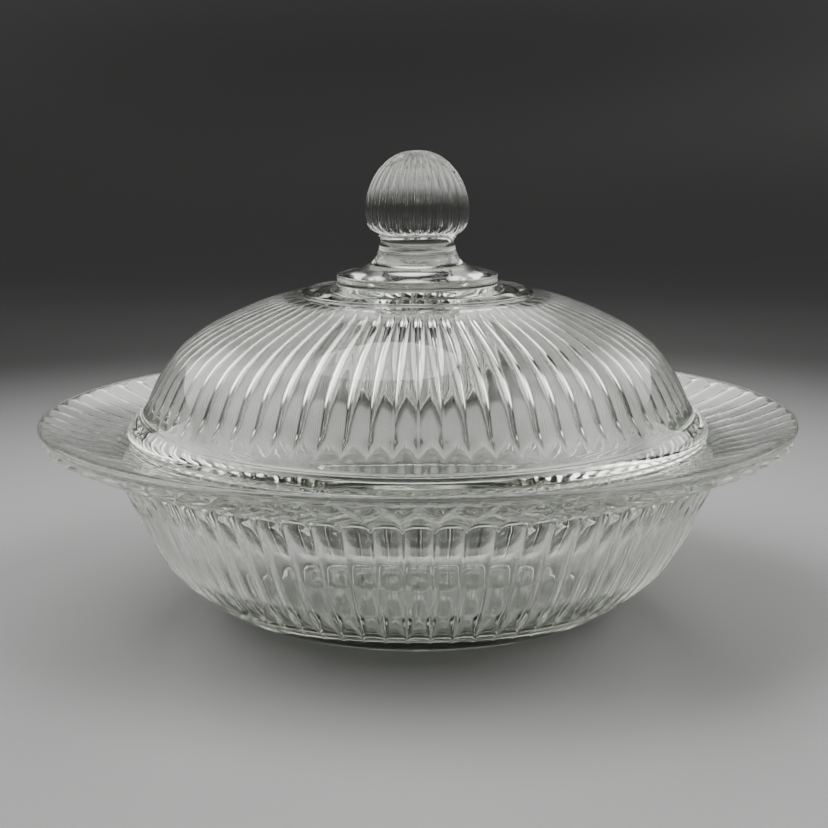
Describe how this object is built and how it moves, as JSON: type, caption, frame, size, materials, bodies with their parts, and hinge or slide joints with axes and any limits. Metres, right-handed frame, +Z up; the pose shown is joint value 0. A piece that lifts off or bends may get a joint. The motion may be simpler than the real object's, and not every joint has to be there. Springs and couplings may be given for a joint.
{
  "type": "butter dish",
  "caption": "Round covered butter dish of clear pressed glass: a footed bowl with a wide ribbed rim, and a lift-off dome cover with ribs inside and a ribbed knob.",
  "frame": {"origin": "centre of the foot, on the surface the dish stands on", "axes": "+Z up along the common axis of the dish and its cover; -Y towards the viewer"},
  "size_m": [0.19, 0.19, 0.1144],
  "materials": {
    "clear_glass": "fire-polished pressed glass"
  },
  "bodies": {
    "dish": {"dish": "clear_glass"},
    "cover": {"cover": "clear_glass"}
  },
  "joints": [
    {"name": "cover_lift", "type": "slide", "parent": "dish", "child": "cover", "axis": [0, 0, 1], "range_m": [0, 0.12]}
  ]
}
